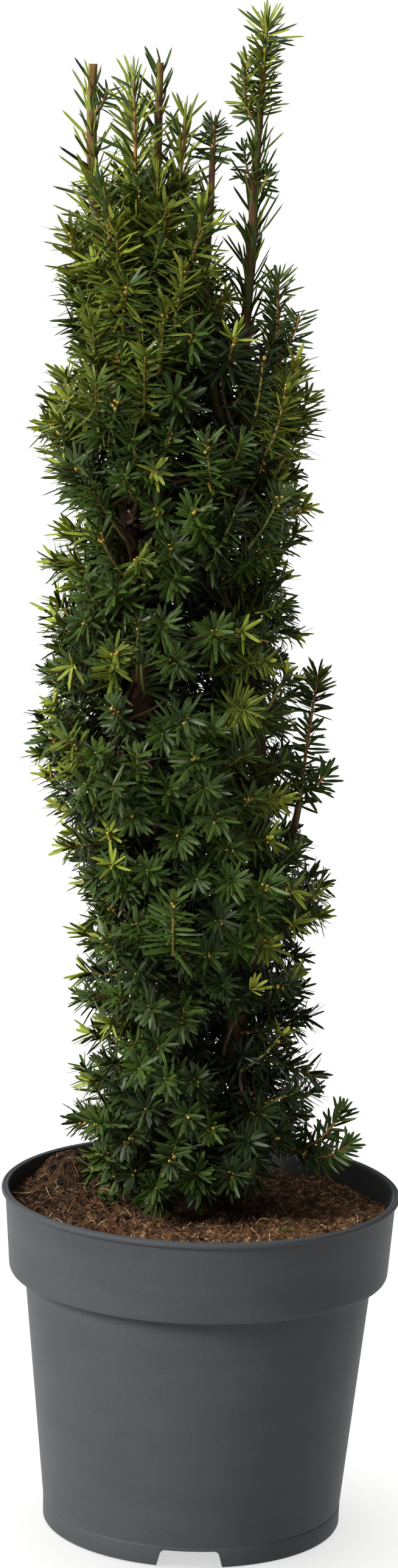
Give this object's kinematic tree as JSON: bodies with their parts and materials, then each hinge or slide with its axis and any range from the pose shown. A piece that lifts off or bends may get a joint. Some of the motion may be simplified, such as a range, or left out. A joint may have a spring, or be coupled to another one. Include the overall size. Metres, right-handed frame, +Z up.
{
  "type": "potted english yew",
  "caption": "Upright, column-shaped yew with two leafy stems and bare leaders at the top, in a round nursery pot with a deep collar, filled with fibrous growing medium.",
  "frame": {"origin": "on the pot's axis, at the underside of its foot ring, the surface that it stands on", "axes": "+Z up, along the pot's axis; -Y to the front, the side of the pot with a drainage notch; +X to the right as seen from the front, the side of the tall leader"},
  "size_m": [0.27, 0.27, 1.0254],
  "materials": {
    "foliage": "dark green, satin needles",
    "young_shoot": "yellow-green, satin young needles",
    "bark": "red-brown flaking bark, matte",
    "young_bark": "smooth green-brown young bark",
    "pot_plastic": "grained dark grey plastic",
    "growing_medium": "matte brown peat and coir fibre"
  },
  "bodies": {
    "root": {"foliage_left_1_back": "foliage", "foliage_left_1_front": "foliage", "foliage_left_2_back": "foliage", "foliage_left_2_front": "foliage", "foliage_left_3_back": "foliage", "foliage_left_3_front": "foliage", "foliage_left_4_back": "foliage", "foliage_left_4_front": "foliage", "foliage_left_5_back": "foliage", "foliage_left_5_front": "foliage", "foliage_right_1_back": "foliage", "foliage_right_1_front": "foliage", "foliage_right_2_back": "foliage", "foliage_right_2_front": "foliage", "foliage_right_3_back": "foliage", "foliage_right_3_front": "foliage", "foliage_right_4_back": "foliage", "foliage_right_4_front": "foliage", "foliage_right_5_back": "foliage", "foliage_right_5_front": "foliage", "growing_medium": "growing_medium", "inner_bough": "young_bark", "middle_bough": "young_bark", "pot": "pot_plastic", "right_stem": "bark", "shoot_inner_tip": "young_shoot", "shoot_left_spire": "young_shoot", "shoot_low_sprig": "young_shoot", "shoot_right_edge": "young_shoot", "shoot_right_spire": "young_shoot", "shoot_side": "young_shoot", "shoot_tall_tip": "young_shoot", "side_bough": "young_bark", "trunk": "bark"}
  },
  "joints": []
}
